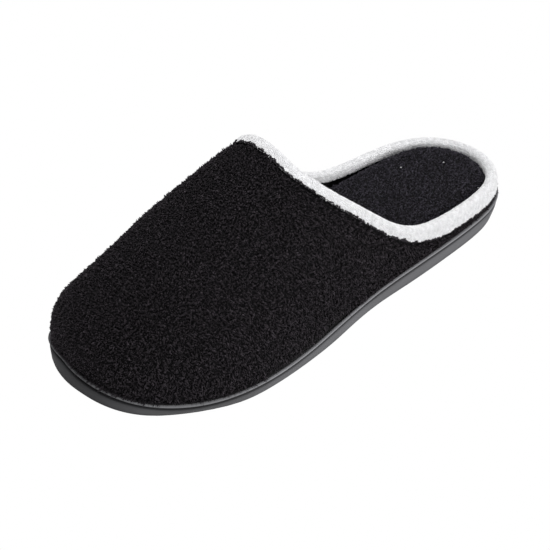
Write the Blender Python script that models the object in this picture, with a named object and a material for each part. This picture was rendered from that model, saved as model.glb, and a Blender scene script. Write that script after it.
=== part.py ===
"""House slipper for the left foot: a closed-toe mule with a low heel rim, made of four pieces.

Tables and sizes are in millimetres, and the scene is in metres. The toe points along -Y, the heel along +Y,
+Z is up, and the outer side of the foot is +X. The slipper stands on z = 0, with the origin under the
middle of its outline.
"""

import math
from typing import NamedTuple

import bmesh
import bpy
import numpy as np
from mathutils import Vector
from mathutils.bvhtree import BVHTree

MM = 0.001
OUTER, INNER = "outer", "inner"
PLATE, LIP, FLOOR = "plate", "lip", "floor"
SIDE_SIGN = {OUTER: 1.0, INNER: -1.0}

# Driving sizes of the whole slipper
LENGTH = 280.0
HEEL_RADIUS = 37.0
TOE_RADIUS = 48.0
GAP = 0.3
DEEP_INSET = 12.0

# Sole: the plate over the floor, the lip round it, and the rise at the toe and under the arch
PLATE_HEIGHT = 10.0
LIP_WIDTH = 1.9
TOE_SPRING = 7.0
SPRING_START = 0.68
ARCH_LIFT = 1.0
ARCH_FROM = 0.30
ARCH_TO = 0.58

# Upper: the wall, its seat inside the lip, and where the toe starts to round off
WALL = 2.6
SEAT = LIP_WIDTH + GAP
TOE_ROUND_START = 0.78
TOE_ROUND_POWER = 2.3

# Collar: where the throat crosses the instep
THROAT_Y = -6.0

# Binding: a folded strip over the collar edge, rounded where it turns over the edge
STRIP = 1.5
STRIP_ROUND = 0.7 * STRIP
LEG_INSIDE = 4.0
LOOSE_FIT = 1.5 * GAP

# Insole: clear of the wall at its foot, then of the binding, with a soft shoulder up to its top
PAD_EDGE = SEAT + WALL + 2 * GAP
PAD_SHOULDER = SEAT + WALL + STRIP

# How finely the forms are cut into facets, and the fold above which an edge stays sharp
RING_STEPS = 42
QUARTER_ROWS = 34
VAMP_ROWS = 18
WALL_COLUMNS = 11
THROAT_COLUMNS = 4
FINE = 3
WALK_STEPS = 20
SHARP_FOLD = math.radians(50)


class Width(NamedTuple):
    """Half widths of the sole's outline at a share of the length, counted from the heel."""

    share: float
    outer: float
    inner: float


class Ridge(NamedTuple):
    """Height of the last's ridge over the sole's plate, before the toe is rounded off."""

    share: float
    height: float


class Lean(NamedTuple):
    """How far the ridge lies towards the big-toe side, as a part of that side's half width."""

    share: float
    part: float


class Skew(NamedTuple):
    """How far the throat runs back along the foot per millimetre towards the big-toe side."""

    share: float
    slope: float


class Box(NamedTuple):
    """How boxy the last's section is on each side: 2 is an ellipse, and more is squarer."""

    share: float
    outer: float
    inner: float


class Collar(NamedTuple):
    """Height over the floor of the collar's cut edge, on both sides, at a place along Y."""

    y: float
    outer: float
    inner: float


class Taper(NamedTuple):
    """How far the foot of the sole's side lies inside its lip, least beside the big toe."""

    share: float
    outer: float
    inner: float


class Lip(NamedTuple):
    """Height over the floor of the lip's top, which rises towards the heel."""

    share: float
    height: float


class Leg(NamedTuple):
    """How far the binding reaches down the outside of the upper, at a place along Y."""

    y: float
    reach: float


class Cushion(NamedTuple):
    """Thickness of the insole."""

    share: float
    thickness: float


class SoleRing(NamedTuple):
    """One ring of the sole's side: its inset, its part of the taper, and its height over a base."""

    inset: float
    taper: float
    base: str
    height: float


class PadRing(NamedTuple):
    """One ring of the insole's side: inset from the sole's outline and share of the thickness."""

    inset: float
    rise: float


WIDTHS = (
    Width(0.12, 36.0, 35.0),
    Width(0.28, 40.0, 37.0),
    Width(0.45, 43.0, 38.0),
    Width(0.60, 49.5, 46.0),
    Width(0.72, 53.0, 53.0),
    Width(0.84, 50.5, 52.5),
    Width(0.94, 37.0, 42.5),
)
RIDGES = (
    Ridge(0.00, 84.0),
    Ridge(0.30, 83.5),
    Ridge(0.44, 82.5),
    Ridge(0.56, 73.0),
    Ridge(0.70, 59.5),
    Ridge(0.82, 47.5),
    Ridge(0.92, 38.5),
    Ridge(1.00, 31.5),
)
LEANS = (
    Lean(0.00, 0.38),
    Lean(0.50, 0.38),
    Lean(0.62, 0.26),
    Lean(0.75, 0.15),
    Lean(0.88, 0.10),
    Lean(1.00, 0.08),
)
SKEWS = (
    Skew(0.00, 0.00),
    Skew(0.25, 0.00),
    Skew(0.50, 0.16),
    Skew(0.75, 0.00),
    Skew(1.00, 0.00),
)
BOXES = (
    Box(0.0, 2.80, 2.80),
    Box(0.3, 2.80, 2.80),
    Box(0.5, 2.80, 2.45),
    Box(0.9, 2.20, 2.45),
    Box(1.0, 2.20, 2.45),
)
COLLARS = (
    Collar(THROAT_Y, 84.0, 84.0),
    Collar(-5.4, 82.2, 82.6),
    Collar(-3.8, 80.2, 80.8),
    Collar(0.0, 76.0, 77.4),
    Collar(12.0, 63.4, 65.4),
    Collar(22.0, 53.6, 55.2),
    Collar(34.0, 42.6, 43.8),
    Collar(44.0, 35.4, 36.2),
    Collar(54.0, 30.4, 30.8),
    Collar(68.0, 26.6, 26.7),
    Collar(90.0, 24.4, 24.4),
    Collar(137.2, 22.6, 22.6),
)
TAPERS = (
    Taper(0.00, 3.4, 3.4),
    Taper(0.30, 3.4, 3.4),
    Taper(0.55, 2.7, 3.0),
    Taper(0.85, 6.4, 1.6),
    Taper(0.92, 6.1, 1.1),
    Taper(0.96, 5.8, 1.6),
    Taper(0.985, 5.5, 3.0),
    Taper(1.00, 5.4, 5.4),
)
LIPS = (
    Lip(0.00, 13.0),
    Lip(0.15, 13.0),
    Lip(0.32, 12.3),
    Lip(0.43, 12.0),
    Lip(0.54, 11.4),
    Lip(0.62, 10.8),
    Lip(1.00, 10.8),
)
LEGS = (Leg(THROAT_Y, 6.0), Leg(40.0, 6.0), Leg(75.0, 8.2), Leg(137.2, 8.2))
CUSHIONS = (Cushion(0.0, 13.0), Cushion(0.45, 13.5), Cushion(0.75, 9.0), Cushion(1.0, 5.5))

# From the plate's edge over the rounded lip, into the groove under it, and down the slanted side
SOLE_RINGS = (
    SoleRing(LIP_WIDTH, 0.0, PLATE, 0.0),
    SoleRing(LIP_WIDTH - 0.2, 0.0, LIP, -0.3),
    SoleRing(1.0, 0.0, LIP, 0.0),
    SoleRing(0.3, 0.0, LIP, -0.2),
    SoleRing(0.0, 0.0, LIP, -0.7),
    SoleRing(0.2, 0.0, LIP, -1.4),
    SoleRing(1.1, 0.0, LIP, -1.8),
    SoleRing(1.1, 0.0, LIP, -2.5),
    SoleRing(0.4, 0.0, LIP, -3.1),
    SoleRing(0.0, 0.9, FLOOR, 1.1),
    SoleRing(0.4, 1.0, FLOOR, 0.3),
    SoleRing(1.2, 1.0, FLOOR, 0.0),
)
PAD_RINGS = (
    PadRing(PAD_EDGE, 0.0),
    PadRing(PAD_EDGE, 0.28),
    PadRing(PAD_SHOULDER + 0.9, 0.50),
    PadRing(PAD_SHOULDER + 1.4, 0.74),
    PadRing(PAD_SHOULDER + 3.6, 0.92),
    PadRing(PAD_SHOULDER + 8.0, 1.0),
)


class Spline:
    """A natural cubic curve through one column of a table."""

    def __init__(self, places, values):
        x, y = np.array(places, float), np.array(values, float)
        gaps = np.diff(x)
        slopes = np.diff(y) / gaps
        system, wanted = np.eye(len(x)), np.zeros(len(x))
        for i in range(1, len(x) - 1):
            system[i, i - 1 : i + 2] = gaps[i - 1], 2 * (gaps[i - 1] + gaps[i]), gaps[i]
            wanted[i] = 6 * (slopes[i] - slopes[i - 1])
        self.x, self.y, self.bend = x, y, np.linalg.solve(system, wanted)

    def __call__(self, place):
        i = int(np.clip(np.searchsorted(self.x, place) - 1, 0, len(self.x) - 2))
        gap = self.x[i + 1] - self.x[i]
        a, b = (self.x[i + 1] - place) / gap, (place - self.x[i]) / gap
        curved = (a**3 - a) * self.bend[i] + (b**3 - b) * self.bend[i + 1]
        return float(a * self.y[i] + b * self.y[i + 1] + curved * gap**2 / 6)


def table_value(rows, place):
    """The second column of a table at a place in its first column, in straight steps from row to row."""
    return float(np.interp(place, [row[0] for row in rows], [row[1] for row in rows]))


def side_value(rows, side, share):
    """One side's column of a table at a share of the length, in straight steps from row to row."""
    return float(np.interp(share, [row.share for row in rows], [getattr(row, side) for row in rows]))


def roundness(share):
    """Half width of a circle-ended bar of unit fullness, which gives the outline its round ends."""
    return 2 * math.sqrt(max(share * (1 - share), 0.0))


def fullness_spline(side, inset):
    """How full the outline is on one side, from the half widths in the table and the two end radii."""
    length = LENGTH - 2 * inset
    ends = [math.sqrt((radius - inset) * length / 2) for radius in (HEEL_RADIUS, TOE_RADIUS)]
    middle = [(getattr(row, side) - inset) / roundness(row.share) for row in WIDTHS]
    return Spline([0.0, *(row.share for row in WIDTHS), 1.0], [ends[0], *middle, ends[1]])


RIM_FULLNESS = {side: fullness_spline(side, 0.0) for side in SIDE_SIGN}
DEEP_FULLNESS = {side: fullness_spline(side, DEEP_INSET) for side in SIDE_SIGN}
COLLAR_YS = [row.y for row in COLLARS]
COLLAR_CURVES = {side: Spline(COLLAR_YS, [getattr(row, side) for row in COLLARS]) for side in SIDE_SIGN}
RIDGE_CURVE = Spline([row.share for row in RIDGES], [row.height for row in RIDGES])


def half_width(side, share, inset):
    """Half width of the sole's outline on one side, set in from the lip."""
    depth = inset / DEEP_INSET
    fullness = (1 - depth) * RIM_FULLNESS[side](share) + depth * DEEP_FULLNESS[side](share)
    return roundness(share) * fullness


def along_foot(share, inset):
    """Place along Y of a share of the outline's length, set in from the lip."""
    return (0.5 - share) * (LENGTH - 2 * inset)


def share_at(y):
    """Share of the sole's length at a place along Y, counted from the heel."""
    return 0.5 - y / LENGTH


SHARES = [(1 - math.cos(math.pi * i / RING_STEPS)) / 2 for i in range(RING_STEPS + 1)]
WIDEST = {side: max(half_width(side, share, 0.0) for share in SHARES) for side in SIDE_SIGN}
CENTRE_X = (WIDEST[OUTER] - WIDEST[INNER]) / 2


def toe_spring(y):
    """How far the sole curls up towards the toe."""
    return TOE_SPRING * max(0.0, (share_at(y) - SPRING_START) / (1 - SPRING_START)) ** 2


def arch_lift(y):
    """How far the bottom of the sole clears the floor under the arch."""
    across = (share_at(y) - ARCH_FROM) / (ARCH_TO - ARCH_FROM)
    return ARCH_LIFT * math.sin(math.pi * min(max(across, 0.0), 1.0)) ** 2


def ring_height(row, y):
    """Height of one ring of the sole's side at a place along Y, before the toe's rise."""
    bases = {PLATE: PLATE_HEIGHT, LIP: table_value(LIPS, share_at(y)), FLOOR: arch_lift(y)}
    return bases[row.base] + row.height


def plan_point(side, share, inset, z):
    """A point of the outline's family, set in from the lip."""
    return Vector((SIDE_SIGN[side] * half_width(side, share, inset), along_foot(share, inset), z))


def ring(place):
    """A closed loop of points, up the outer side from heel to toe and back along the inner side."""
    up = [place(OUTER, share) for share in SHARES]
    down = [place(INNER, share) for share in reversed(SHARES[1:-1])]
    return up + down


def ridge_height(share):
    """Height of the last's ridge over the plate, rounded off at the toe."""
    ahead = max(0.0, (share - TOE_ROUND_START) / (1 - TOE_ROUND_START))
    return RIDGE_CURVE(share) * math.sqrt(max(0.0, 1 - ahead**TOE_ROUND_POWER))


def upper_foot(share):
    """Height at which the upper stands on the sole's plate."""
    return PLATE_HEIGHT + GAP + toe_spring(along_foot(share, SEAT))


def upper_point(side, share, angle):
    """A point on the outside of the upper: angle 0 at the sole, a quarter turn at the ridge."""
    bend = 2 / side_value(BOXES, side, share)
    reach = SIDE_SIGN[side] * half_width(side, share, SEAT)
    lean = table_value(LEANS, share) * half_width(INNER, share, SEAT)
    over = math.sin(angle) ** 2
    x = reach * max(math.cos(angle), 0.0) ** bend - lean * over
    y = along_foot(share, SEAT) - table_value(SKEWS, share) * x * over
    z = upper_foot(share) + ridge_height(share) * math.sin(angle) ** bend
    return Vector((x, y, z))


def upper_share(y):
    """Share of the upper's own length at a place along Y."""
    return 0.5 - y / (LENGTH - 2 * SEAT)


THROAT_SHARE = upper_share(THROAT_Y)


def collar_angle(side, share):
    """Angle up the section at which the quarter ends at the collar."""
    lift = (COLLAR_CURVES[side](along_foot(share, SEAT)) - upper_foot(share)) / ridge_height(share)
    return math.asin(lift ** (side_value(BOXES, side, share) / 2))


SHOULDER_ANGLES = {side: collar_angle(side, THROAT_SHARE) for side in SIDE_SIGN}


def quarter_shares(rows):
    """Shares of the upper's length, behind the throat, that are evenly spaced along the collar."""
    steps = WALK_STEPS * rows
    shares = [THROAT_SHARE * (1 - math.cos(math.pi * i / steps)) / 2 for i in range(steps + 1)]
    edge = [upper_point(OUTER, share, collar_angle(OUTER, share)) for share in shares]
    walked = np.cumsum([0.0, *((there - here).length for here, there in zip(edge, edge[1:]))])
    return [float(np.interp(walked[-1] * i / rows, walked, shares)) for i in range(rows)]


def vamp_shares(rows):
    """Shares of the upper's length from the throat to the toe, closer together at the toe."""
    ahead = 1 - THROAT_SHARE
    return [THROAT_SHARE + ahead * math.sin(math.pi / 2 * i / rows) for i in range(rows + 1)]


def quarter_angles(side, share, columns):
    """Angles up a section behind the throat, from the sole to the collar."""
    return [collar_angle(side, share) * j / columns for j in range(columns + 1)]


def throat_angles(side, columns):
    """Angles over the top of a section, from the throat's shoulder to the ridge."""
    shoulder = SHOULDER_ANGLES[side]
    return [shoulder + (math.pi / 2 - shoulder) * j / columns for j in range(columns + 1)]


def upper_sheet(fine):
    """The outside of the upper as an open sheet, from the sole's seat up to the ridge and the collar."""
    sheet = bmesh.new()

    def cover(side, shares, angles):
        rows = []
        for share in shares:
            rows.append([sheet.verts.new(upper_point(side, share, angle)) for angle in angles(share)])
        for back, front in zip(rows, rows[1:]):
            for j in range(len(back) - 1):
                corners = [back[j], front[j], front[j + 1], back[j + 1]]
                sheet.faces.new(corners if side == INNER else corners[::-1])

    for side in SIDE_SIGN:
        vamp = vamp_shares(VAMP_ROWS * fine)
        quarter = [*quarter_shares(QUARTER_ROWS * fine), THROAT_SHARE]
        cover(side, quarter, lambda share: quarter_angles(side, share, WALL_COLUMNS * fine))
        cover(side, vamp, lambda share: quarter_angles(side, THROAT_SHARE, WALL_COLUMNS * fine))
        cover(side, vamp, lambda share: throat_angles(side, THROAT_COLUMNS * fine))
    bmesh.ops.remove_doubles(sheet, verts=sheet.verts, dist=GAP / 100)
    sheet.normal_update()
    return sheet


def make_upper():
    """The upper: one hollow wall, open at the collar and underneath."""
    shell = upper_sheet(fine=1)
    outside = list(shell.verts)
    inside = {}
    for vert in outside:
        at_sole = vert.co.z - upper_foot(upper_share(vert.co.y)) < GAP / 10
        inward = Vector((vert.normal.x, vert.normal.y, 0.0)).normalized() if at_sole else vert.normal
        inside[vert] = shell.verts.new(vert.co - WALL * inward)
    open_edges = [edge for edge in shell.edges if edge.is_boundary]
    for face in list(shell.faces):
        shell.faces.new([inside[vert] for vert in reversed(face.verts)])
    for edge in open_edges:
        a, b = edge.verts
        shell.faces.new([a, b, inside[b], inside[a]])
    bmesh.ops.recalc_face_normals(shell, faces=shell.faces)
    return finish("upper", shell, FLEECE_BLACK)


def collar_edge():
    """The collar's cut edge as a closed loop: up the outer side, over the throat and back to the heel."""

    def half(side):
        shares = quarter_shares(QUARTER_ROWS)
        quarter = [upper_point(side, share, collar_angle(side, share)) for share in shares]
        angles = throat_angles(side, THROAT_COLUMNS)
        return quarter + [upper_point(side, THROAT_SHARE, angle) for angle in angles]

    return half(OUTER) + half(INNER)[-2:0:-1]


def binding_section(leg):
    """The folded strip's section as (distance down the wall, height over the upper's outside)."""
    inner_face = -WALL - LOOSE_FIT
    return (
        (leg, GAP),
        (leg / 2, GAP),
        (-GAP, GAP),
        (-GAP, inner_face),
        (LEG_INSIDE / 2, inner_face),
        (LEG_INSIDE, inner_face),
        (LEG_INSIDE + STRIP / 4, inner_face - STRIP / 2),
        (LEG_INSIDE - STRIP / 4, inner_face - STRIP),
        (LEG_INSIDE / 3, inner_face - STRIP),
        (-STRIP / 2, inner_face - STRIP_ROUND),
        (-STRIP - GAP, -WALL / 2),
        (-STRIP / 2, GAP + STRIP_ROUND),
        (leg / 3, GAP + STRIP),
        (leg - STRIP / 3, GAP + STRIP),
        (leg + STRIP / 4, GAP + STRIP / 2),
    )


def make_binding():
    """The collar binding: the strip's section carried round the collar, lying on the upper's surface."""
    guide = upper_sheet(fine=FINE)
    surface = BVHTree.FromBMesh(guide)
    guide.free()
    edge = collar_edge()
    strip = bmesh.new()
    loops = []
    for i, point in enumerate(edge):
        run = (edge[(i + 1) % len(edge)] - edge[i - 1]).normalized()
        normal = surface.find_nearest(point)[1]
        down = normal.cross(run).normalized()
        loop = []
        for distance, height in binding_section(table_value(LEGS, point.y)):
            place, out = point + down * distance, normal
            if distance > 0:
                place, out = surface.find_nearest(place)[:2]
            loop.append(strip.verts.new(place + out * height))
        loops.append(loop)
    for here, there in zip(loops, loops[1:] + loops[:1]):
        for k in range(len(here)):
            after = (k + 1) % len(here)
            strip.faces.new([here[k], there[k], there[after], here[after]])
    bmesh.ops.recalc_face_normals(strip, faces=strip.faces)
    return finish("collar_binding", strip, FLEECE_WHITE)


def stacked_rings(loops):
    """A closed solid from a stack of loops, capped at both ends by strips across the foot."""
    solid = bmesh.new()
    rings = [[solid.verts.new(point) for point in loop] for loop in loops]
    count = len(rings[0])
    for low, high in zip(rings, rings[1:]):
        for i in range(count):
            after = (i + 1) % count
            solid.faces.new([low[i], low[after], high[after], high[i]])
    for cap in (rings[0], rings[-1]):
        for i in range(RING_STEPS):
            corners = [cap[i], cap[i + 1], cap[(count - i - 1) % count], cap[(count - i) % count]]
            solid.faces.new(list(dict.fromkeys(corners)))
    bmesh.ops.recalc_face_normals(solid, faces=solid.faces)
    return solid


def make_outsole():
    """The moulded sole: a plate inside a rounded lip, with a groove under the lip and a slanted side."""

    def sole_ring(row):
        def place(side, share):
            inset = row.inset + row.taper * side_value(TAPERS, side, share)
            y = along_foot(share, inset)
            return plan_point(side, share, inset, ring_height(row, y) + toe_spring(y))

        return ring(place)

    return finish("outsole", stacked_rings([sole_ring(row) for row in SOLE_RINGS]), RUBBER_GREY)


def make_insole():
    """The padded footbed: it lies on the sole's plate, and its shoulder clears the binding in the rim."""

    def pad_ring(row):
        def place(side, share):
            y = along_foot(share, row.inset)
            foot = PLATE_HEIGHT + GAP + toe_spring(y)
            thick = table_value(CUSHIONS, share_at(y))
            return plan_point(side, share, row.inset, foot + thick * row.rise)

        return ring(place)

    return finish("insole", stacked_rings([pad_ring(row) for row in PAD_RINGS]), FLEECE_DARK)


class Finish(NamedTuple):
    """A plain finish: name, linear colour and roughness."""

    name: str
    colour: tuple
    roughness: float


FLEECE_BLACK = Finish("fleece_black", (0.013, 0.012, 0.014), 0.95)
FLEECE_DARK = Finish("fleece_footbed", (0.017, 0.016, 0.019), 0.95)
FLEECE_WHITE = Finish("fleece_white", (0.80, 0.80, 0.81), 0.90)
RUBBER_GREY = Finish("sole_rubber", (0.070, 0.070, 0.074), 0.55)


def material_of(look):
    """A Principled material with the finish's colour and roughness."""
    material = bpy.data.materials.new(look.name)
    material.use_nodes = True
    shader = material.node_tree.nodes["Principled BSDF"]
    shader.inputs["Base Color"].default_value = (*look.colour, 1.0)
    shader.inputs["Roughness"].default_value = look.roughness
    shader.inputs["Metallic"].default_value = 0.0
    return material


def finish(name, solid, look):
    """Turns a solid into a named object in metres, centred over the outline and shaded smooth."""
    for vert in solid.verts:
        vert.co = (vert.co - Vector((CENTRE_X, 0.0, 0.0))) * MM
    mesh = bpy.data.meshes.new(name)
    solid.to_mesh(mesh)
    solid.free()
    mesh.materials.append(material_of(look))
    mesh.shade_smooth()
    mesh.set_sharp_from_angle(angle=SHARP_FOLD)
    made = bpy.data.objects.new(name, mesh)
    bpy.context.scene.collection.objects.link(made)
    return made


def main():
    """Clears the scene and builds the slipper's pieces under one empty."""
    for old in list(bpy.data.objects):
        bpy.data.objects.remove(old, do_unlink=True)
    slipper = bpy.data.objects.new("house_slipper", None)
    bpy.context.scene.collection.objects.link(slipper)
    for piece in (make_outsole(), make_insole(), make_upper(), make_binding()):
        piece.parent = slipper


main()
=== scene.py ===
"""House slipper for the left foot, dressed: moulded sole, black fleece, padded footbed and white binding."""

import logging
import math
from dataclasses import dataclass, field
from enum import Enum
from typing import Callable

import bpy
import numpy as np
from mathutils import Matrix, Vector, noise
from mathutils.bvhtree import BVHTree
from mathutils.kdtree import KDTree


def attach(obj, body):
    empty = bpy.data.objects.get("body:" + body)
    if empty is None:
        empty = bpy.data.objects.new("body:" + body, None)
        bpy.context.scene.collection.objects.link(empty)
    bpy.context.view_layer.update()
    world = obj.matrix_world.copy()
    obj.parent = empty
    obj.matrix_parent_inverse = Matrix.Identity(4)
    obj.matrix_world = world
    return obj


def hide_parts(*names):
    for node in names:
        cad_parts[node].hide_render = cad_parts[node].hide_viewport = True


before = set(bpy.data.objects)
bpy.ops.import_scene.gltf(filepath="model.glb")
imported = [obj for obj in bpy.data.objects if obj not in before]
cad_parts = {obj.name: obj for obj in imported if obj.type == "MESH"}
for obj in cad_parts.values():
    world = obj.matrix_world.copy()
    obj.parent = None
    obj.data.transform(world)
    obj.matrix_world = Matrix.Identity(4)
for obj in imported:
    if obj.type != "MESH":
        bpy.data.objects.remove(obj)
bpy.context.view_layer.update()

MM = 0.001
BODY = "root"
NOISE_SEED = 7

# Copied meshes: how near vertices merge, how far two triangles may fold or skew to pair, and what is sharp
MERGE_GAP = 1e-6
PAIR_FOLD = math.radians(60)
PAIR_SKEW = math.radians(70)
SHARP_FOLD = math.radians(28)

# The least length that a direction is divided by, and the level part of a direction
TINY = 1e-9
LEVEL = np.array([1.0, 1.0, 0.0])

log = logging.getLogger("slipper")

Colour = tuple[float, float, float]
Point = tuple[float, float, float]
Span = tuple[float, float]
Face = tuple[int, ...]
Piece = bpy.types.Object
Material = bpy.types.Material
Socket = bpy.types.NodeSocket
Rule = Callable[[np.ndarray, np.ndarray], np.ndarray]

UNCOMBED: Point = (0.0, 0.0, 0.0)


class Slot(Enum):
    """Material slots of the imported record."""

    RUBBER = "sole_rubber"
    BLACK = "fleece_black"
    FOOTBED = "fleece_footbed"
    WHITE = "fleece_white"


class Bench:
    """The hand tools that every piece is made with."""

    @staticmethod
    def pick(piece: Piece) -> None:
        """Selects one piece alone and makes it active.

        Args:
            piece: The piece to work on.
        """
        bpy.ops.object.select_all(action="DESELECT")
        piece.select_set(True)
        bpy.context.view_layer.objects.active = piece

    @staticmethod
    def copy_of(node: str, name: str) -> Piece:
        """Copies a CAD node's mesh into a new piece, merged and paired into quads.

        Args:
            node: Name of the CAD node, which is left alone.
            name: Name of the new piece.

        Returns:
            The new piece, at the node's own place.
        """
        piece = bpy.data.objects.new(name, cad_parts[node].data.copy())
        piece.data.name = name
        piece.data.materials.clear()
        bpy.context.scene.collection.objects.link(piece)
        Bench.pick(piece)
        bpy.ops.object.mode_set(mode="EDIT")
        bpy.ops.mesh.select_all(action="SELECT")
        bpy.ops.mesh.customdata_custom_splitnormals_clear()
        bpy.ops.mesh.remove_doubles(threshold=MERGE_GAP)
        bpy.ops.mesh.tris_convert_to_quads(face_threshold=PAIR_FOLD, shape_threshold=PAIR_SKEW)
        bpy.ops.object.mode_set(mode="OBJECT")
        bpy.ops.object.shade_smooth()
        return piece

    @staticmethod
    def apply(piece: Piece, kind: str, **settings: object) -> None:
        """Adds a modifier with its settings and applies it at once.

        Args:
            piece: The piece to change.
            kind: Blender's name for the modifier.
            **settings: The modifier's own values.
        """
        Bench.pick(piece)
        modifier = piece.modifiers.new(kind.lower(), kind)
        for key, value in settings.items():
            setattr(modifier, key, value)
        bpy.ops.object.modifier_apply(modifier=modifier.name)

    @staticmethod
    def harden(piece: Piece, hardness: float) -> None:
        """Creases a piece's sharp edges, so that rounding keeps them.

        Args:
            piece: The piece to change.
            hardness: From 0, soft, to 1, hard.
        """
        Bench.pick(piece)
        bpy.ops.object.mode_set(mode="EDIT")
        bpy.ops.mesh.select_mode(type="EDGE")
        bpy.ops.mesh.select_all(action="DESELECT")
        bpy.ops.mesh.edges_select_sharp(sharpness=SHARP_FOLD)
        bpy.ops.transform.edge_crease(value=hardness)
        bpy.ops.object.mode_set(mode="OBJECT")

    @staticmethod
    def smooth(piece: Piece, levels: int) -> None:
        """Subdivides a piece and rounds it."""
        Bench.apply(piece, "SUBSURF", levels=levels, render_levels=levels)

    @staticmethod
    def rows(items: bpy.types.bpy_prop_collection, key: str) -> np.ndarray:
        """Three numbers of each item in a list.

        Args:
            items: A list of a mesh's own.
            key: Name of the numbers.

        Returns:
            One row for each item.
        """
        flat = np.empty(len(items) * 3, np.float32)
        items.foreach_get(key, flat)
        return flat.reshape(-1, 3).astype(float)

    @staticmethod
    def points(piece: Piece) -> np.ndarray:
        """Places of a piece's vertices, one row each."""
        return Bench.rows(piece.data.vertices, "co")

    @staticmethod
    def normals(piece: Piece) -> np.ndarray:
        """Normals of a piece's vertices, one row each."""
        return Bench.rows(piece.data.vertex_normals, "vector")

    @staticmethod
    def move(piece: Piece, points: np.ndarray) -> None:
        """Puts a piece's vertices at new places."""
        piece.data.vertices.foreach_set("co", points.astype(np.float32).ravel())
        piece.data.update()

    @staticmethod
    def tree(piece: Piece) -> BVHTree:
        """A search tree over a piece's faces."""
        corners = [vertex.co for vertex in piece.data.vertices]
        return BVHTree.FromPolygons(corners, [face.vertices for face in piece.data.polygons])

    @staticmethod
    def number(piece: Piece, name: str, values: np.ndarray) -> None:
        """Writes a number on each of a piece's vertices, for its material to read."""
        layer = piece.data.attributes.new(name, "FLOAT", "POINT")
        layer.data.foreach_set("value", values.astype(np.float32))

    @staticmethod
    def hand_over(piece: Piece, slot: Slot, material: Material, *nodes: str) -> Piece:
        """Gives a finished piece its material and body, and hides the CAD nodes that it stands for.

        Args:
            piece: The finished piece.
            slot: The record's slot that its finish comes from; not used.
            material: The material that it wears.
            *nodes: CAD nodes that it replaces.

        Returns:
            The same piece.
        """
        piece.data.materials.clear()
        piece.data.materials.append(material)
        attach(piece, BODY)
        if nodes:
            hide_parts(*nodes)
        log.info("%s: %d faces", piece.name, len(piece.data.polygons))
        return piece


class Graph:
    """A material's node tree, with short calls for the nodes that the finishes use."""

    def __init__(self, name: str) -> None:
        """Starts a material with its Principled shader.

        Args:
            name: Name of the material.
        """
        self.material = bpy.data.materials.new(name)
        self.material.use_nodes = True
        self.tree = self.material.node_tree
        self.shader = self.tree.nodes["Principled BSDF"]
        self.place = self.tree.nodes.new("ShaderNodeTexCoord").outputs["Object"]

    def node(self, kind: str, **settings: object) -> bpy.types.ShaderNode:
        """Adds a node and sets its properties.

        Args:
            kind: The node's type, without its prefix.
            **settings: Properties of the node.

        Returns:
            The new node.
        """
        made = self.tree.nodes.new("ShaderNode" + kind)
        for key, value in settings.items():
            setattr(made, key, value)
        return made

    def link(self, start: Socket, end: Socket) -> None:
        """Links two sockets."""
        self.tree.links.new(start, end)

    def noise(self, scale: float, detail: float = 2.0, rough: float = 0.5) -> Socket:
        """A noise over the piece's own place, from about 0.3 to 0.7.

        Args:
            scale: How many grains go to a metre.
            detail: How many finer grains are laid over it.
            rough: How strong the finer grains are.

        Returns:
            The noise's value.
        """
        made = self.node("TexNoise")
        made.inputs["Scale"].default_value = scale
        made.inputs["Detail"].default_value = detail
        made.inputs["Roughness"].default_value = rough
        self.link(self.place, made.inputs["Vector"])
        return made.outputs["Fac"]

    def spread(self, value: Socket, old: Span, new: Span) -> Socket:
        """Stretches a value from one range to another, held at both ends.

        Args:
            value: The value to stretch.
            old: The range that it comes from.
            new: The range that it goes to.

        Returns:
            The stretched value.
        """
        made = self.node("MapRange")
        for key, number in zip(("From Min", "From Max", "To Min", "To Max"), (*old, *new)):
            made.inputs[key].default_value = number
        self.link(value, made.inputs["Value"])
        return made.outputs["Result"]

    def mix(self, amount: Socket, start: Colour, end: Colour) -> Socket:
        """A colour between two.

        Args:
            amount: How far along it lies, from 0 to 1.
            start: The colour at 0.
            end: The colour at 1.

        Returns:
            The mixed colour.
        """
        made = self.node("ValToRGB")
        made.color_ramp.elements[0].color = (*start, 1.0)
        made.color_ramp.elements[1].color = (*end, 1.0)
        self.link(amount, made.inputs["Fac"])
        return made.outputs["Color"]

    def times(self, colour: Socket, factor: Socket) -> Socket:
        """A colour scaled by a number that varies over the surface.

        Args:
            colour: The colour to scale.
            factor: The number to scale it by.

        Returns:
            The scaled colour.
        """
        made = self.node("VectorMath", operation="SCALE")
        self.link(colour, made.inputs["Vector"])
        self.link(factor, made.inputs["Scale"])
        return made.outputs["Vector"]

    def attribute(self, name: str) -> Socket:
        """A number that the mesh carries."""
        return self.node("Attribute", attribute_name=name).outputs["Fac"]

    def bump(self, height: Socket, depth: float, strength: float) -> None:
        """Roughens the shader's normal.

        Args:
            height: The height, from 0 to 1.
            depth: What a height of 1 means, in metres.
            strength: How much of it is used.
        """
        made = self.node("Bump")
        made.inputs["Strength"].default_value = strength
        made.inputs["Distance"].default_value = depth
        self.link(height, made.inputs["Height"])
        self.link(made.outputs["Normal"], self.shader.inputs["Normal"])

    def set(self, **values: object) -> None:
        """Sets the shader's own sockets, with _ for a space in their names."""
        for key, value in values.items():
            self.shader.inputs[key.replace("_", " ")].default_value = value


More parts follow.
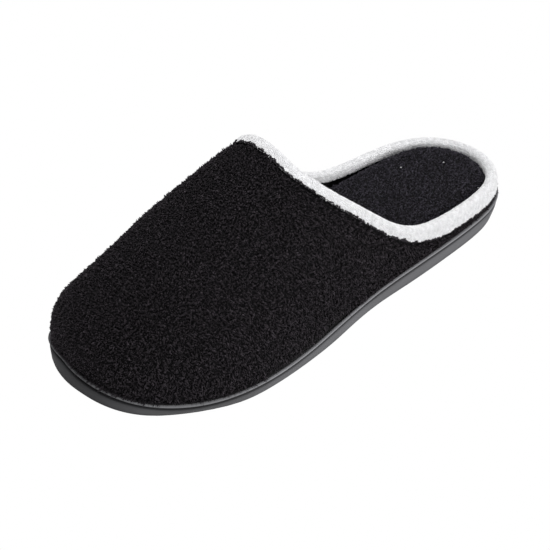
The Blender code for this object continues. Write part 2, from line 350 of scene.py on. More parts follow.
@dataclass(frozen=True)
class PileFinish:
    """Fibres of a pile: dark at the root, lighter at the tip, with a tone of its own in each tuft."""

    name: str
    root: Colour
    tip: Colour
    sheen_colour: Colour
    grain: float
    sheen: float = 0.05
    sheen_roughness: float = 0.45
    roughness: float = 0.85
    specular: float = 0.2
    grain_scale: float = 1500.0
    grain_detail: float = 1.0
    noise_range: Span = (0.35, 0.65)
    fibre_scale: float = 2600.0
    fibre_depth: float = 0.2 * MM

    def material(self) -> Material:
        """Builds the material, which reads the tufts' own tip and tone.

        Returns:
            The new material.
        """
        graph = Graph(self.name)
        fibre = graph.times(graph.mix(graph.attribute("tip"), self.root, self.tip), graph.attribute("tone"))
        clumps = graph.noise(self.grain_scale, self.grain_detail)
        grain = graph.spread(clumps, self.noise_range, (1 - self.grain, 1 + self.grain))
        graph.link(graph.times(fibre, grain), graph.shader.inputs["Base Color"])
        graph.bump(graph.noise(self.fibre_scale), self.fibre_depth, self.grain)
        graph.set(Roughness=self.roughness, Sheen_Weight=self.sheen, Sheen_Roughness=self.sheen_roughness)
        graph.set(Sheen_Tint=(*self.sheen_colour, 1.0), Specular_IOR_Level=self.specular)
        return graph.material


@dataclass(frozen=True)
class BackingFinish:
    """The knit that the pile stands in, mottled and without gloss."""

    name: str
    low: Colour
    high: Colour
    sheen: float
    sheen_roughness: float = 0.5
    roughness: float = 0.95
    specular: float = 0.15
    knit_scale: float = 620.0
    knit_detail: float = 3.0
    knit_rough: float = 0.6
    noise_range: Span = (0.35, 0.65)
    knit_depth: float = 0.8 * MM
    knit_strength: float = 0.7

    def material(self) -> Material:
        """Builds the material.

        Returns:
            The new material.
        """
        graph = Graph(self.name)
        clumps = graph.noise(self.knit_scale, self.knit_detail, self.knit_rough)
        knit = graph.mix(graph.spread(clumps, self.noise_range, (0.0, 1.0)), self.low, self.high)
        graph.link(knit, graph.shader.inputs["Base Color"])
        graph.bump(clumps, self.knit_depth, self.knit_strength)
        graph.set(Roughness=self.roughness, Sheen_Weight=self.sheen, Sheen_Roughness=self.sheen_roughness)
        graph.set(Specular_IOR_Level=self.specular)
        return graph.material


@dataclass(frozen=True)
class RubberFinish:
    """Moulded rubber: a fine grain, faint clouding, and the painted light and shade that its mesh carries.
    """

    name: str
    low: Colour
    high: Colour
    roughness: float
    specular: float
    noise_range: Span = (0.3, 0.7)
    cloud_scale: float = 38.0
    cloud_detail: float = 4.0
    cloud_rough: float = 0.6
    gloss_scale: float = 300.0
    gloss_detail: float = 3.0
    gloss_spread: Span = (-0.06, 0.08)
    grain_scale: float = 1800.0
    grain_depth: float = 0.08 * MM
    grain_strength: float = 0.35

    def material(self) -> Material:
        """Builds the material.

        Returns:
            The new material.
        """
        graph = Graph(self.name)
        clouds = graph.noise(self.cloud_scale, self.cloud_detail, self.cloud_rough)
        cloud = graph.spread(clouds, self.noise_range, (0.0, 1.0))
        rubber = graph.times(graph.mix(cloud, self.low, self.high), graph.attribute("shade"))
        graph.link(rubber, graph.shader.inputs["Base Color"])
        glossy, dull = (self.roughness + shift for shift in self.gloss_spread)
        patches = graph.noise(self.gloss_scale, self.gloss_detail)
        gloss = graph.spread(patches, self.noise_range, (glossy, dull))
        graph.link(gloss, graph.shader.inputs["Roughness"])
        graph.bump(graph.noise(self.grain_scale), self.grain_depth, self.grain_strength)
        graph.set(Specular_IOR_Level=self.specular)
        return graph.material


BLACK_PILE = PileFinish(
    "black_pile", (0.0026, 0.0022, 0.0026), (0.0265, 0.0225, 0.0262), (0.8, 0.7, 0.85), grain=0.55
)
FOOTBED_PILE = PileFinish(
    "footbed_pile", (0.0042, 0.0038, 0.0048), (0.031, 0.028, 0.037), (0.8, 0.76, 0.95), grain=0.4
)
WHITE_PILE = PileFinish("white_pile", (0.80, 0.80, 0.81), (0.83, 0.83, 0.84), (1.0, 1.0, 1.0), grain=0.02)
BLACK_BACKING = BackingFinish("black_backing", (0.002, 0.0018, 0.0022), (0.006, 0.0055, 0.0065), sheen=0.02)
WHITE_BACKING = BackingFinish("white_backing", (0.78, 0.78, 0.79), (0.82, 0.82, 0.83), sheen=0.05)
SOLE_RUBBER = RubberFinish(
    "moulded_rubber", (0.086, 0.086, 0.090), (0.098, 0.098, 0.103), roughness=0.65, specular=0.03
)


@dataclass(frozen=True)
class Tuft:
    """Size and lie of a tuft of pile, in millimetres and degrees."""

    spacing: float
    length: float
    half_width: float
    lean: float
    lean_spread: float
    stray: float
    unevenness: float
    tone_spread: float
    clump: float = 2.0


BRUSHED = Tuft(1.0, 1.9, 0.40, lean=40.0, lean_spread=14.0, stray=2.0, unevenness=0.8, tone_spread=0.30)
FLATTENED = Tuft(1.0, 1.4, 0.42, lean=54.0, lean_spread=14.0, stray=2.8, unevenness=0.6, tone_spread=0.28)
HANGING = Tuft(0.45, 3.4, 0.34, lean=75.0, lean_spread=8.0, stray=1.0, unevenness=0.4, tone_spread=0.30)
LAPPED = Tuft(0.45, 0.9, 0.42, lean=60.0, lean_spread=12.0, stray=1.6, unevenness=0.6, tone_spread=0.30)
FLECK = Tuft(1.0, 1.3, 0.40, lean=65.0, lean_spread=8.0, stray=2.0, unevenness=0.0, tone_spread=0.01)
SHORN = Tuft(
    0.60, 0.65, 0.42, lean=66.0, lean_spread=8.0, stray=3.2, unevenness=0.2, tone_spread=0.01, clump=1.8
)


@dataclass(frozen=True)
class Spindle:
    """Form of every tuft: a spindle with a knee, in shares of the tuft's own length, width and lean."""

    sides: int = 3
    lean_limits: Span = (0.05, 1.35)
    rise_lean: float = 0.6
    fall_lean: float = 1.35
    fall_limit: float = 1.5
    knee_reach: float = 0.55
    tip_reach: float = 0.45
    foot_girth: float = 0.8
    foot_depth: float = 0.4 * MM
    knee_tint: float = 0.6
    lengths: Span = (0.8, 1.2)
    girths: Span = (0.75, 1.2)
    tones: Span = (0.5, 2.0)
    clump_limits: Span = (-0.7, 0.7)

    def faces(self) -> list[Face]:
        """The faces of one tuft, whose vertices are the foot's ring, the knee's ring and the tip.

        Returns:
            The walls between the rings, the foot's underside and the sides of the tip.
        """
        n = self.sides
        walls = [(k, (k + 1) % n, n + (k + 1) % n, n + k) for k in range(n)]
        tip = [(n + k, n + (k + 1) % n, 2 * n) for k in range(n)]
        return [*walls, (0, *range(n - 1, 0, -1)), *tip]


SPINDLE = Spindle()


@dataclass
class Roots:
    """Where the tufts of a pile stand: their places, the surface's normals there, and how long they are."""

    places: np.ndarray
    normals: np.ndarray
    reach: np.ndarray

    def only(self, mask: np.ndarray) -> "Roots":
        """The roots that a mask keeps."""
        return Roots(self.places[mask], self.normals[mask], self.reach[mask])


@dataclass
class Pile:
    """Pile on a ground: tufts strewn evenly over its faces and combed one way, as one joined mesh."""

    tuft: Tuft
    comb: Point
    seed: int
    tries: int = 8
    rng: np.random.Generator = field(init=False)

    def __post_init__(self) -> None:
        """Starts the pile's own row of random numbers."""
        self.rng = np.random.default_rng(self.seed)

    def strew(self, ground: Piece, keep: Rule) -> Roots:
        """Strews roots over a ground's faces, one to each cell of the tuft's spacing.

        Args:
            ground: The piece that the pile stands on.
            keep: Says of places and normals which may bear a tuft.

        Returns:
            The roots that are kept.
        """
        mesh = ground.data
        mesh.calc_loop_triangles()
        corners = np.empty(len(mesh.loop_triangles) * 3, np.int32)
        mesh.loop_triangles.foreach_get("vertices", corners)
        corners = corners.reshape(-1, 3)
        points, normals = Bench.points(ground), Bench.normals(ground)
        a, b, c = (points[corners[:, i]] for i in range(3))
        area = np.linalg.norm(np.cross(b - a, c - a), axis=1) / 2
        step = self.tuft.spacing * MM
        count = int(self.tries * area.sum() / step**2)
        chosen = self.rng.choice(len(area), count, p=area / area.sum())
        shares = self.rng.random((count, 2))
        folded = shares.sum(axis=1) > 1
        shares[folded] = 1 - shares[folded]
        weights = np.column_stack([1 - shares.sum(axis=1), shares])
        places = np.einsum("ij,ijk->ik", weights, points[corners[chosen]])
        upright = np.einsum("ij,ijk->ik", weights, normals[corners[chosen]])
        upright /= np.linalg.norm(upright, axis=1, keepdims=True)
        _, first = np.unique(np.floor(places / step).astype(int), axis=0, return_index=True)
        places, upright = places[first], upright[first]
        mask = keep(places, upright)
        return Roots(places[mask], upright[mask], np.ones(int(mask.sum())))

    def lie(self, roots: Roots) -> np.ndarray:
        """The way that each tuft leans along the ground: the comb's way, swayed from clump to clump.

        Args:
            roots: Where the tufts stand.

        Returns:
            A unit direction for each root.
        """
        scale = 1 / (self.tuft.clump * MM)
        sway = np.array([noise.noise_vector(Vector(place) * scale) for place in roots.places])
        way = np.array(self.comb) + self.tuft.stray * sway
        way -= np.einsum("ij,ij->i", way, roots.normals)[:, None] * roots.normals
        return way / np.maximum(np.linalg.norm(way, axis=1, keepdims=True), TINY)

    def grow(self, name: str, roots: Roots, way: np.ndarray | None = None) -> Piece:
        """Grows a tuft on each root.

        Args:
            name: Name of the new piece.
            roots: Where the tufts stand.
            way: The way that each leans, or None for the pile's own lie.

        Returns:
            The joined tufts as one piece.
        """
        form, count, up = SPINDLE, len(roots.places), roots.normals
        way = self.lie(roots) if way is None else way
        lean = np.radians(self.tuft.lean + self.tuft.lean_spread * self.rng.standard_normal(count))
        lean = lean.clip(*form.lean_limits)
        scale = 1 / (self.tuft.clump * MM)
        clump = np.array([noise.noise(Vector(place) * scale) for place in roots.places])
        even = 1 + self.tuft.unevenness * clump.clip(*form.clump_limits)
        length = self.tuft.length * MM * roots.reach * even * self.rng.uniform(*form.lengths, count)
        girth = self.tuft.half_width * MM * self.rng.uniform(*form.girths, count)

        def along(angle: np.ndarray) -> np.ndarray:
            """Unit directions that lean from the normals by an angle."""
            heading = up * np.cos(angle)[:, None] + way * np.sin(angle)[:, None]
            return heading / np.linalg.norm(heading, axis=1, keepdims=True)

        rise = along(lean * form.rise_lean)
        fall = along(np.minimum(lean * form.fall_lean, form.fall_limit))
        foot = roots.places - up * form.foot_depth
        knee = roots.places + rise * (form.knee_reach * length)[:, None]
        across = np.cross(up, way)
        thick = np.cross(rise, across)
        turn = self.rng.uniform(0, math.tau / form.sides, count)
        verts = np.empty((count, 2 * form.sides + 1, 3))
        for k in range(form.sides):
            angle = turn + k * math.tau / form.sides
            ring = across * np.cos(angle)[:, None] + thick * np.sin(angle)[:, None]
            verts[:, k] = foot + ring * (form.foot_girth * girth)[:, None]
            verts[:, form.sides + k] = knee + ring * girth[:, None]
        verts[:, -1] = knee + fall * (form.tip_reach * length)[:, None]
        tone = even * np.exp(self.tuft.tone_spread * self.rng.standard_normal(count)).clip(*form.tones)
        tint = np.tile([0.0] * form.sides + [form.knee_tint] * form.sides + [1.0], count)
        return joined_mesh(name, verts, {"tip": tint, "tone": np.repeat(tone, verts.shape[1])})


def joined_mesh(name: str, verts: np.ndarray, numbers: dict[str, np.ndarray]) -> Piece:
    """One mesh of many tufts.

    Args:
        name: Name of the new piece.
        verts: Vertices as (tuft, vertex, axis).
        numbers: A number for every vertex, by attribute name.

    Returns:
        The new piece.
    """
    faces = SPINDLE.faces()
    count, each = verts.shape[:2]
    shift = each * np.arange(count)[:, None]
    loops = np.array([i for face in faces for i in face])
    sizes = np.tile([len(face) for face in faces], count)
    mesh = bpy.data.meshes.new(name)
    mesh.vertices.add(count * each)
    mesh.vertices.foreach_set("co", verts.astype(np.float32).ravel())
    mesh.loops.add(count * len(loops))
    mesh.loops.foreach_set("vertex_index", (loops[None, :] + shift).astype(np.int32).ravel())
    mesh.polygons.add(len(sizes))
    mesh.polygons.foreach_set("loop_start", np.concatenate([[0], np.cumsum(sizes)[:-1]]).astype(np.int32))
    mesh.update(calc_edges=True)
    mesh.shade_smooth()
    piece = bpy.data.objects.new(name, mesh)
    bpy.context.scene.collection.objects.link(piece)
    for key, values in numbers.items():
        Bench.number(piece, key, values)
    return piece


def distances(tree: BVHTree, places: np.ndarray, reach: float) -> np.ndarray:
    """How far each place is from a surface, or the reach where that is further."""
    found = (tree.find_nearest(Vector(place), reach)[3] for place in places)
    return np.array([reach if gap is None else gap for gap in found])


def behind(tree: BVHTree, places: np.ndarray, ways: np.ndarray, reach: float) -> np.ndarray:
    """Which places have a surface close in front of them, along the ways given."""
    hits = (tree.ray_cast(Vector(place), Vector(way), reach)[0] for place, way in zip(places, ways))
    return np.array([hit is not None for hit in hits], bool)


def ways_to(tree: BVHTree, places: np.ndarray) -> np.ndarray:
    """The unit direction from each place to the nearest point of a surface."""
    near = np.array([tree.find_nearest(Vector(place))[0] for place in places]) - places
    return near / np.maximum(np.linalg.norm(near, axis=1, keepdims=True), TINY)


def ramp(values: np.ndarray, start: float, end: float) -> np.ndarray:
    """Rises softly from 0 at a start to 1 at an end."""
    share = ((values - start) / (end - start)).clip(0, 1)
    return share * share * (3 - 2 * share)


def bell(values: np.ndarray, middle: float, half_width: float) -> np.ndarray:
    """Rises softly to 1 at a middle and falls off to both sides."""
    return np.exp(-(((values - middle) / half_width) ** 2))


@dataclass(frozen=True)
class Crease:
    """A soft trough or ridge of the upper along a straight run, in millimetres."""

    start: Point
    end: Point
    out: Point
    half_width: float
    lift: float

    def press(self, points: np.ndarray) -> np.ndarray:
        """How far each point moves, both walls alike.

        Args:
            points: Places before they are pressed, in metres.

        Returns:
            The shift of each point, in metres.
        """
        start, run = np.array(self.start) * MM, (np.array(self.end) - np.array(self.start)) * MM
        along = ((points - start) @ run / (run @ run)).clip(0, 1)
        gap = np.linalg.norm(points - start - along[:, None] * run, axis=1) / (self.half_width * MM)
        out = np.array(self.out) / np.linalg.norm(self.out)
        return (self.lift * MM * np.exp(-(gap**2)))[:, None] * out


SHOULDER = Crease((-33.0, -3.0, 79.0), (-26.0, -6.0, 84.0), (-0.4, -0.2, 0.9), 9.0, -2.3)


@dataclass(frozen=True)
class Tuck:
    """How far the lip and the upper's foot are drawn in round the toe, where the sole's side stands out."""

    depth: float = 3.4 * MM
    pivot: float = -0.088
    outer_turn: Span = (math.radians(46), math.radians(100))
    inner_turn: Span = (math.radians(116), math.radians(146))
    spring: float = 7.0 * MM
    spring_from: float = -0.0504
    toe: float = -0.140
    lip_places: tuple[float, ...] = (-0.034, -0.011, 0.020, 0.050, 0.098)
    lip_heights: tuple[float, ...] = (10.8 * MM, 11.4 * MM, 12.0 * MM, 12.3 * MM, 13.0 * MM)
    rise: Point = (1.0 * MM, 7.7 * MM, 9.2 * MM)
    shares: Point = (0.0, 0.7, 1.0)
    roll: float = 16.0 * MM

    def heights(self, points: np.ndarray) -> np.ndarray:
        """Heights over the sole's bottom, which curls up towards the toe."""
        ahead = ((points[:, 1] - self.spring_from) / (self.toe - self.spring_from)).clip(0, None)
        return points[:, 2] - self.spring * ahead**2

    def under_lip(self, points: np.ndarray) -> np.ndarray:
        """How far each point lies under the lip's top, which rises towards the heel."""
        return np.interp(points[:, 1], self.lip_places, self.lip_heights) - self.heights(points)

    def turns(self, points: np.ndarray) -> np.ndarray:
        """How far round the toe each point is, from 0 at its outer side to half a turn at its inner side."""
        return np.arctan2(np.maximum(self.pivot - points[:, 1], 0), points[:, 0])

    def inward(self, points: np.ndarray) -> np.ndarray:
        """The full shift of each point, level and towards the middle of the toe.

        Args:
            points: Places on the sole or the upper.

        Returns:
            The shift of each point.
        """
        turn = self.turns(points)
        amount = self.depth * ramp(turn, *self.outer_turn) * (1 - ramp(turn, *self.inner_turn))
        return -amount[:, None] * np.column_stack([np.cos(turn), -np.sin(turn), np.zeros(len(turn))])

    def sole(self, points: np.ndarray) -> np.ndarray:
        """Shifts the sole's points: all of the lip and groove, less and less down its side."""
        share = np.interp(self.heights(points), self.rise, self.shares)
        return points + share[:, None] * self.inward(points)

    def upper(self, points: np.ndarray) -> np.ndarray:
        """Shifts the upper's points: all of its foot, less and less up its side."""
        share = 1 - ramp(-self.under_lip(points), 0.0, self.roll)
        return points + share[:, None] * self.inward(points)


TUCK = Tuck()


@dataclass
class Outsole:
    """The moulded sole unit: its form, and the light and shade painted into its rubber from place to place.
    """

    rounding: int = 2
    hardness: float = 0.75
    axis_reach: float = 0.090
    groove_depth: float = 1.2 * MM
    groove_under: float = 2.2 * MM
    groove_half: float = 0.8 * MM
    # Painted shade in the groove, over its real deepening
    groove_shade: float = 0.85
    # A painted highlight: a lighter band just under the lip's top edge
    highlight_under: float = 0.5 * MM
    highlight_half: float = 0.6 * MM
    highlight_gain: float = 0.6
    # Painted shade on faces that turn down towards the floor
    under_shade: float = 0.6
    # A painted shadow along the bottom edge, where the sole meets the floor
    foot_shade: float = 0.4
    foot_reach: float = 2.4 * MM
    # Painted light on the side towards the key lamp and painted shade on the side away from it, no darker
    # than darkest
    light_side: Point = (0.85, 0.42, 0.0)
    light_gain: float = 0.75
    darkest: float = 0.62
    # Painted shade on the front of the toe
    front_shade: float = 0.24
    front_span: Span = (0.055, 0.095)
    front_turn: Span = (math.radians(30), math.radians(55))

    def build(self) -> Piece:
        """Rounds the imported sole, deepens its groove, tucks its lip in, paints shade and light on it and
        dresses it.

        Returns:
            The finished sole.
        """
        sole = Bench.copy_of("outsole", "outsole_unit")
        Bench.harden(sole, self.hardness)
        Bench.smooth(sole, self.rounding)
        points, under = Bench.points(sole), (-Bench.normals(sole)[:, 2]).clip(0, 1)
        depth = TUCK.under_lip(points)
        groove = bell(depth, self.groove_under, self.groove_half)
        # Painted highlight on the lip's top edge
        lip_highlight = bell(depth, self.highlight_under, self.highlight_half)
        out = points * LEVEL
        out[:, 1] -= points[:, 1].clip(-self.axis_reach, self.axis_reach)
        out /= np.maximum(np.linalg.norm(out, axis=1, keepdims=True), TINY)
        Bench.move(sole, TUCK.sole(points - (self.groove_depth * groove)[:, None] * out))
        # Painted light and shade: the rubber is lighter on the side that faces the key lamp
        side = (1 + self.light_gain * out @ np.array(self.light_side)).clip(self.darkest, None)
        foot = bell(TUCK.heights(points), 0.0, self.foot_reach)
        # Painted highlight on the lip and painted shade on down-facing faces
        tone = side * (1 + self.highlight_gain * lip_highlight) * (1 - self.under_shade * under)
        # Painted shade in the groove and a painted shadow along the bottom edge
        tone *= (1 - self.groove_shade * groove) * (1 - self.foot_shade * foot)
        # Painted shade on the front of the toe, fading round towards its outer side
        front = ramp(-points[:, 1], *self.front_span) * (1 - ramp(TUCK.turns(points), *self.front_turn))
        Bench.number(sole, "shade", tone * (1 - self.front_shade * front))
        return Bench.hand_over(sole, Slot.RUBBER, SOLE_RUBBER.material(), "outsole")


@dataclass
class Upper:
    """The fleece upper: a backing wall with creases, and brushed pile on its outside and in its mouth."""

    hardness: float = 1.0
    rounding: int = 1
    pile_depth: float = 0.35 * MM
    axis_reach: float = 0.100
    axis_height: float = 0.022
    overhang: float = 0.5
    comb: Point = (0.9, -0.4, -0.15)
    pile_parts: tuple[str, ...] = ("inner", "top", "outer")
    edge_clear: float = 1.0 * MM
    fringe_reach: float = 2.2 * MM
    fringe_limit: float = 10.0 * MM
    fringe_growth: float = 0.4
    fringe_pull: float = 0.9
    cover_reach: float = 5.0 * MM
    lip_reach: float = 4.0 * MM
    skirt_height: float = 1.8 * MM
    skirt_droop: float = 0.35
    skirt_sway: float = 0.3
    skirt_cut: float = 0.5
    skirt_turn: Span = (math.radians(85), math.radians(130))
    skirt_rear: Span = (-0.030, 0.030)
    mouth_front: float = -0.045
    mouth_comb: Point = (0.0, 0.3, -1.0)
    worn_side: Point = (-0.73, -0.69, 0.0)
    worn_range: Span = (0.2, 0.9)
    worn_share: float = 0.4
    creases: tuple[Crease, ...] = (
        Crease((-10.0, -26.0, 82.0), (6.0, -90.0, 59.5), (-0.1, -0.45, 0.9), 11.0, 1.3),
        Crease((23.0, -40.0, 69.5), (33.0, -88.0, 49.5), (0.55, -0.35, 0.75), 15.0, -1.2),
        Crease((13.0, -123.0, 38.0), (34.0, -112.0, 36.0), (0.3, -0.75, 0.6), 11.0, -1.2),
        Crease((-24.0, -60.0, 64.0), (-26.0, -95.0, 52.0), (-0.6, -0.3, 0.7), 13.0, -0.8),
        Crease((-32.0, -127.0, 26.0), (-46.0, -108.0, 30.0), (-0.75, -0.65, 0.1), 13.0, 2.2),
        SHOULDER,
    )

    def build(self, binding: BVHTree, sole: BVHTree) -> Roots:
        """Makes the backing and its pile.

        Args:
            binding: Surface of the collar binding.
            sole: Surface of the sole.

        Returns:
            Roots of the pile on the outside.
        """
        backing = Bench.copy_of("upper", "upper_backing")
        Bench.harden(backing, self.hardness)
        Bench.smooth(backing, self.rounding)
        points = Bench.points(backing)
        points += sum(crease.press(points) for crease in self.creases)
        Bench.move(backing, TUCK.upper(points - self.pile_depth * Bench.normals(backing)))
        Bench.hand_over(backing, Slot.BLACK, BLACK_BACKING.material(), "upper")
        fleece = BLACK_PILE.material()
        self.hang(backing, sole, fleece)
        self.line(backing, binding, fleece)
        return self.cover(backing, binding, sole, fleece)

    def outward(self, places: np.ndarray, normals: np.ndarray) -> np.ndarray:
        """Which places are on the outside of the wall: their normals point away from the foot's axis.

        Args:
            places: Places on the wall.
            normals: The wall's normals there.

        Returns:
            True or False for each place.
        """
        axis = np.zeros_like(places)
        axis[:, 1] = places[:, 1].clip(-self.axis_reach, self.axis_reach)
        axis[:, 2] = self.axis_height
        return (np.einsum("ij,ij->i", normals, places - axis) > 0) & (normals[:, 2] > -self.overhang)

    def from_binding(self, binding: BVHTree, places: np.ndarray) -> np.ndarray:
        """How far places on the wall are from the binding, which is pressed down with it."""
        return distances(binding, places - SHOULDER.press(places), self.fringe_limit)

    def uncovered(self, binding: BVHTree, places: np.ndarray, normals: np.ndarray) -> np.ndarray:
        """Which places on the wall stand clear of the binding and aren't under it."""
        under = behind(binding, places - SHOULDER.press(places), normals, self.cover_reach)
        return (self.from_binding(binding, places) > self.edge_clear) & ~under

    def over_lip(self, sole: BVHTree, places: np.ndarray, normals: np.ndarray) -> np.ndarray:
        """Which places are on the outside of the wall and not behind the sole's lip."""
        return self.outward(places, normals) & ~behind(sole, places, normals * LEVEL, self.lip_reach)

    def cover(self, backing: Piece, binding: BVHTree, sole: BVHTree, fleece: Material) -> Roots:
        """Grows the brushed pile on the outside, with a fringe that leans to the binding's edge.

        Args:
            backing: The wall that the pile stands on.
            binding: Surface of the collar binding.
            sole: Surface of the sole.
            fleece: The pile's material.

        Returns:
            Roots of the pile.
        """
        pile = Pile(BRUSHED, self.comb, seed=11)

        def bears(places: np.ndarray, normals: np.ndarray) -> np.ndarray:
            """Which places of the wall show, clear of sole and binding."""
            return self.over_lip(sole, places, normals) & self.uncovered(binding, places, normals)

        roots = pile.strew(backing, bears)
        way = pile.lie(roots)
        fringe = bell(self.from_binding(binding, roots.places), self.edge_clear, self.fringe_reach)
        roots.reach += self.fringe_growth * fringe * pile.rng.random(len(fringe))
        roots.reach -= self.worn_share * ramp(roots.normals @ np.array(self.worn_side), *self.worn_range)
        way += (self.fringe_pull * fringe)[:, None] * ways_to(binding, roots.places)
        way /= np.linalg.norm(way, axis=1, keepdims=True)
        order = np.argsort(roots.places[:, 0])
        for name, part in zip(self.pile_parts, np.array_split(order, len(self.pile_parts))):
            tufts = pile.grow(f"upper_pile_{name}", roots.only(part), way[part])
            Bench.hand_over(tufts, Slot.BLACK, fleece)
        return roots

    def hang(self, backing: Piece, sole: BVHTree, fleece: Material) -> None:
        """Grows the skirt of pile that hangs over the sole's lip.

        Args:
            backing: The wall that the pile stands on.
            sole: Surface of the sole.
            fleece: The pile's material.
        """
        pile = Pile(HANGING, UNCOMBED, seed=13)

        def bears(places: np.ndarray, normals: np.ndarray) -> np.ndarray:
            """Which places of the wall's outside are close over the lip."""
            low = distances(sole, places, 2 * self.skirt_height) < self.skirt_height
            return low & self.over_lip(sole, places, normals)

        roots = pile.strew(backing, bears)
        inner = ramp(TUCK.turns(roots.places), *self.skirt_turn)
        rear = ramp(roots.places[:, 1], *self.skirt_rear)
        roots.reach -= self.skirt_cut * np.maximum(inner, rear)
        over = roots.normals * LEVEL
        over /= np.linalg.norm(over, axis=1, keepdims=True)
        over[:, 2] = -self.skirt_droop
        over += self.skirt_sway * pile.lie(roots)
        Bench.hand_over(pile.grow("upper_skirt", roots, over), Slot.BLACK, fleece)

    def line(self, backing: Piece, binding: BVHTree, fleece: Material) -> None:
        """Grows the flatter pile of the lining, where the mouth shows it.

        Args:
            backing: The wall that the pile stands on.
            binding: Surface of the collar binding.
            fleece: The pile's material.
        """
        pile = Pile(FLATTENED, self.mouth_comb, seed=12)

        def bears(places: np.ndarray, normals: np.ndarray) -> np.ndarray:
            """Which places of the wall's inside show in the mouth."""
            shown = (places[:, 1] > self.mouth_front) & (places[:, 2] > self.axis_height)
            return shown & ~self.outward(places, normals) & self.uncovered(binding, places, normals)

        lining = pile.grow("lining_pile", pile.strew(backing, bears))
        Bench.hand_over(lining, Slot.BLACK, fleece)


@dataclass
class Footbed:
    """The padded footbed under its flattened fleece, with a few flecks of lint."""

    rounding: int = 2
    comb: Point = (0.5, 0.5, 0.0)
    shown_from: float = -0.055
    top_slope: float = 0.35
    drop: float = 0.060
    lint: tuple[Span, ...] = ((-0.0215, 0.1045), (-0.0012, 0.1160), (-0.0138, 0.0976), (0.0243, 0.1138))
    lint_comb: Point = (1.0, 0.0, 0.0)

    def build(self) -> None:
        """Makes the pad, its pile and the lint."""
        pad = Bench.copy_of("insole", "footbed_pad")
        Bench.smooth(pad, self.rounding)
        Bench.hand_over(pad, Slot.FOOTBED, BLACK_BACKING.material(), "insole")
        pile = Pile(FLATTENED, self.comb, seed=21)

        def bears(places: np.ndarray, normals: np.ndarray) -> np.ndarray:
            """Which places of the pad's top show."""
            return (normals[:, 2] > self.top_slope) & (places[:, 1] > self.shown_from)

        tufts = pile.grow("footbed_pile", pile.strew(pad, bears))
        Bench.hand_over(tufts, Slot.FOOTBED, FOOTBED_PILE.material())
        self.litter(pad)

    def litter(self, pad: Piece) -> None:
        """Drops a few flecks of white lint on the pad.

        Args:
            pad: The pad that they fall on.
        """
        ground, down = Bench.tree(pad), Vector((0.0, 0.0, -1.0))
        found = [ground.ray_cast(Vector((*place, self.drop)), down) for place in self.lint]
        places, normals = (np.array([hit[i] for hit in found]) for i in range(2))
        roots = Roots(places, normals, np.ones(len(found)))
        flecks = Pile(FLECK, self.lint_comb, seed=22).grow("footbed_lint", roots)
        Bench.hand_over(flecks, Slot.WHITE, WHITE_PILE.material())


@dataclass
class Binding:
    """The folded white strip round the collar, with its short pile and the black pile that laps its edge."""

    rounding: int = 2
    hidden_gap: float = 1.3 * MM
    pile_depth: float = 0.45 * MM
    lap_reach: float = 2.5 * MM
    lap_fray: float = 0.6 * MM
    lap_comb: Point = (0.2, 0.6, 0.8)
    fray_size: float = 3.0 * MM
    edge: KDTree = field(init=False)

    def build(self, wall: BVHTree, fleece: Roots) -> None:
        """Makes the strip and its pile.

        Args:
            wall: Surface of the upper, which hides the strip's underside.
            fleece: Roots of the black pile, which laps over the strip's edge.
        """
        self.edge = KDTree(len(fleece.places))
        for i, place in enumerate(fleece.places):
            self.edge.insert(place, i)
        self.edge.balance()
        strip = Bench.copy_of("collar_binding", "binding_strip")
        Bench.smooth(strip, self.rounding)
        points = Bench.points(strip)
        points += SHOULDER.press(points)
        Bench.move(strip, points - self.pile_depth * Bench.normals(strip))
        Bench.hand_over(strip, Slot.WHITE, WHITE_BACKING.material(), "collar_binding")
        pile = Pile(SHORN, UNCOMBED, seed=31)

        def bears(places: np.ndarray, normals: np.ndarray) -> np.ndarray:
            """Which places of the strip show white: not against the wall, and not lapped."""
            hidden = behind(wall, places - SHOULDER.press(places), normals, self.hidden_gap)
            return ~hidden & ~self.lapped(places)

        tufts = pile.grow("binding_pile", pile.strew(strip, bears))
        Bench.hand_over(tufts, Slot.WHITE, WHITE_PILE.material())
        self.lap(strip)

    def lapped(self, places: np.ndarray) -> np.ndarray:
        """Which places the black pile laps over: the strip's edge, along a frayed line.

        Args:
            places: Places on the strip.

        Returns:
            True or False for each place.
        """
        fray = np.array([noise.noise(Vector(place) / self.fray_size) for place in places])
        gap = np.array([self.edge.find(place)[2] for place in places])
        return gap < self.lap_reach + self.lap_fray * fray

    def lap(self, strip: Piece) -> None:
        """Brushes black pile over the strip where it laps.

        Args:
            strip: The strip that it lies on.
        """
        pile = Pile(LAPPED, self.lap_comb, seed=32)
        tufts = pile.grow("binding_lap", pile.strew(strip, lambda places, _: self.lapped(places)))
        Bench.hand_over(tufts, Slot.BLACK, BLACK_PILE.material())


@dataclass(frozen=True)
class Lamp:
    """A soft box: where it stands, its side and its power."""

    name: str
    place: Point
    side: float
    power: float

    def light(self, aim: Vector) -> None:
        """Sets the lamp up.

        Args:
            aim: The place that it faces.
        """
        lamp = bpy.data.lights.new(self.name, "AREA")
        lamp.shape = "SQUARE"
        lamp.size = self.side
        lamp.energy = self.power
        stand = bpy.data.objects.new(self.name, lamp)
        stand.location = self.place
        stand.rotation_euler = (aim - stand.location).to_track_quat("-Z", "Y").to_euler()
        bpy.context.scene.collection.objects.link(stand)


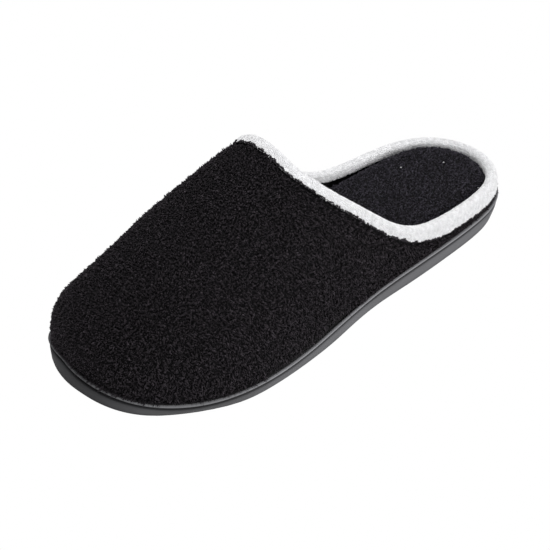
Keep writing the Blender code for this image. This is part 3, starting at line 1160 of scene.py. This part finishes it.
@dataclass
class Studio:
    """A white floor, soft light and the camera."""

    azimuth: float = 43.36
    elevation: float = 34.05
    distance: float = 1.994
    lens: float = 265.0
    sensor: float = 36.0
    aim: Point = (-0.005, -0.004, 0.012)
    floor_side: float = 6.0
    sky: Span = (0.25, 0.75)
    bright_side: Point = (0.97, 0.2, 0.1)
    lamps: tuple[Lamp, ...] = (
        Lamp("overhead", (-0.4, 0.0, 1.5), side=1.4, power=19.0),
        Lamp("right_key", (1.6, 0.0, 0.32), side=0.8, power=12.0),
    )

    def build(self) -> None:
        """Lays the floor, sets the light and places the camera."""
        self.lay_floor()
        aim = Vector(self.aim)
        for lamp in self.lamps:
            lamp.light(aim)
        self.hang_sky()
        bpy.context.scene.view_settings.view_transform = "Standard"
        a, e = math.radians(self.azimuth), math.radians(self.elevation)
        back = Vector((math.sin(a) * math.cos(e), -math.cos(a) * math.cos(e), math.sin(e)))
        camera = bpy.data.objects.new("camera", bpy.data.cameras.new("camera"))
        camera.data.lens = self.lens
        camera.data.sensor_width = self.sensor
        camera.location = aim + back * self.distance
        camera.rotation_euler = (-back).to_track_quat("-Z", "Y").to_euler()
        bpy.context.scene.collection.objects.link(camera)
        bpy.context.scene.camera = camera

    def hang_sky(self) -> None:
        """Hangs a white sky that is dim on one side and bright on the other."""
        world = bpy.data.worlds.new("studio")
        world.use_nodes = True
        nodes, links = world.node_tree.nodes, world.node_tree.links
        way = nodes.new("ShaderNodeTexCoord").outputs["Generated"]
        side = nodes.new("ShaderNodeVectorMath")
        side.operation = "DOT_PRODUCT"
        side.inputs[1].default_value = self.bright_side
        span = nodes.new("ShaderNodeMapRange")
        for key, number in zip(("From Min", "From Max", "To Min", "To Max"), (-1.0, 1.0, *self.sky)):
            span.inputs[key].default_value = number
        white = nodes["Background"]
        white.inputs["Color"].default_value = (1.0, 1.0, 1.0, 1.0)
        links.new(way, side.inputs[0])
        links.new(side.outputs["Value"], span.inputs["Value"])
        links.new(span.outputs["Result"], white.inputs["Strength"])
        bpy.context.scene.world = world

    def lay_floor(self) -> None:
        """Lays a wide white floor under the sole."""
        bpy.ops.object.select_all(action="DESELECT")
        bpy.ops.mesh.primitive_plane_add(size=self.floor_side)
        floor = bpy.context.active_object
        floor.name = "floor"
        graph = Graph("white_floor")
        graph.set(Base_Color=(0.0, 0.0, 0.0, 1.0), Roughness=1.0, Specular_IOR_Level=0.0)
        graph.set(Emission_Color=(1.0, 1.0, 1.0, 1.0), Emission_Strength=1.0)
        floor.data.materials.append(graph.material)


def main() -> None:
    """Builds the slipper's pieces in order, then the studio."""
    logging.basicConfig(level=logging.INFO, format="%(name)s: %(message)s")
    noise.seed_set(NOISE_SEED)
    trees = {name: Bench.tree(node) for name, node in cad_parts.items()}
    sole = Outsole().build()
    fleece = Upper().build(trees["collar_binding"], Bench.tree(sole))
    Footbed().build()
    Binding().build(trees["upper"], fleece)
    Studio().build()


if __name__ == "__main__":
    main()
